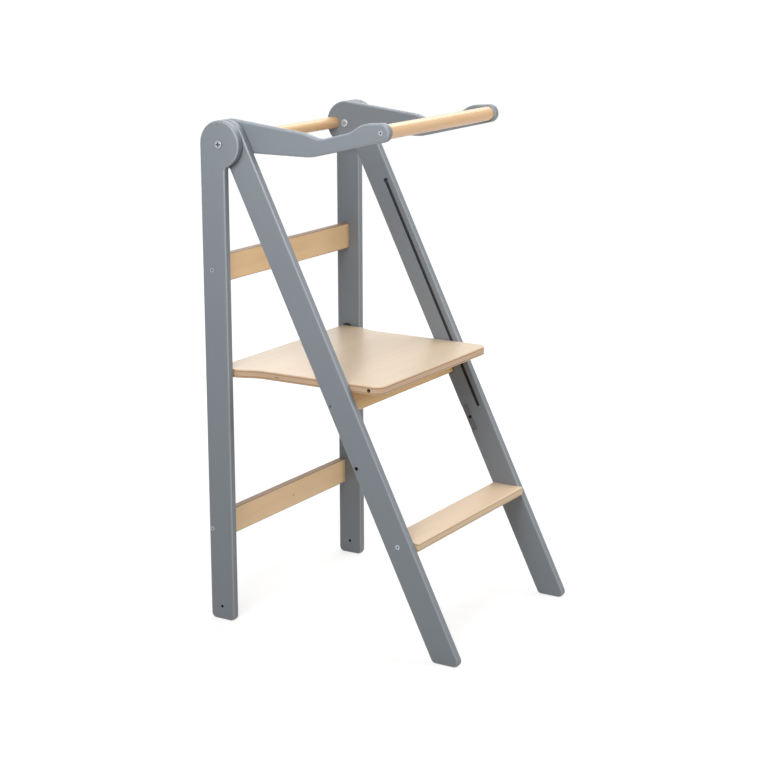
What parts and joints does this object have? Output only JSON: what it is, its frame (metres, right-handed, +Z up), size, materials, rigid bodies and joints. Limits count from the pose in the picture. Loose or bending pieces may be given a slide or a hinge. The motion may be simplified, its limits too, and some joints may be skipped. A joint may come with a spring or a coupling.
{
  "type": "folding toddler kitchen helper stool",
  "caption": "Folding toddler helper stool in grey-painted plywood with a clear plywood platform, a lower step, rear slats and a swing-up guard with round wooden rails.",
  "frame": {"origin": "on the floor, at the middle of the rectangle that the standing stool covers", "axes": "+Z up, -Y the front, where the step is, and -X the left nodes' side"},
  "size_m": [0.4494, 0.5032, 0.9083],
  "materials": {
    "grey_lacquer": "satin blue-grey lacquer on birch plywood",
    "clear_plywood": "clear satin lacquer on birch plywood, plies visible at the edges",
    "clear_pine": "clear lacquer",
    "beech": "clear lacquer on turned beech",
    "zinc_steel": "zinc plated",
    "nylon": "natural nylon",
    "black_nylon": "black nylon"
  },
  "bodies": {
    "rear_frame": {"rear_leg_left": "grey_lacquer", "rear_leg_right": "grey_lacquer", "upper_rear_slat": "clear_plywood", "lower_rear_slat": "clear_plywood", "slat_screws": "zinc_steel", "pivot_bolts": "zinc_steel", "pivot_sleeve_nuts": "zinc_steel", "pivot_spacers": "nylon", "platform_hinge_pins": "zinc_steel", "platform_hinge_washers": "black_nylon"},
    "front_frame": {"front_leg_left": "grey_lacquer", "front_leg_right": "grey_lacquer", "platform_rail": "clear_pine", "rail_screws": "zinc_steel", "step_tread": "clear_plywood", "step_screws": "zinc_steel"},
    "platform_board": {"platform": "clear_plywood"},
    "guide_pins": {"guide_pins": "zinc_steel"},
    "guard": {"guard_arm_left": "grey_lacquer", "guard_arm_right": "grey_lacquer", "guard_front_dowel": "beech", "guard_rear_dowel": "beech", "guard_screws": "zinc_steel"}
  },
  "joints": [
    {"name": "fold", "type": "hinge", "parent": "rear_frame", "child": "front_frame", "pos_m": [0, 0.21112, 0.8595], "axis": [1, 0, 0], "range_deg": [0, 23]},
    {"name": "platform_tilt", "type": "hinge", "parent": "rear_frame", "child": "platform_board", "pos_m": [0, 0.22862, 0.4575], "axis": [-1, 0, 0], "range_deg": [0, 77.6]},
    {"name": "guide_slide", "type": "slide", "parent": "front_frame", "child": "guide_pins", "axis": [0, 0.4421, 0.8969], "range_m": [0, 0.2965]},
    {"name": "guard_lift", "type": "hinge", "parent": "rear_frame", "child": "guard", "pos_m": [0, 0.21112, 0.8595], "axis": [-1, 0, 0], "range_deg": [0, 100]}
  ],
  "couplings": [
    {"joint": "platform_tilt", "follows": "fold", "ratio": 3.3714},
    {"joint": "guide_slide", "follows": "fold", "m_per_rad": 0.73775}
  ]
}
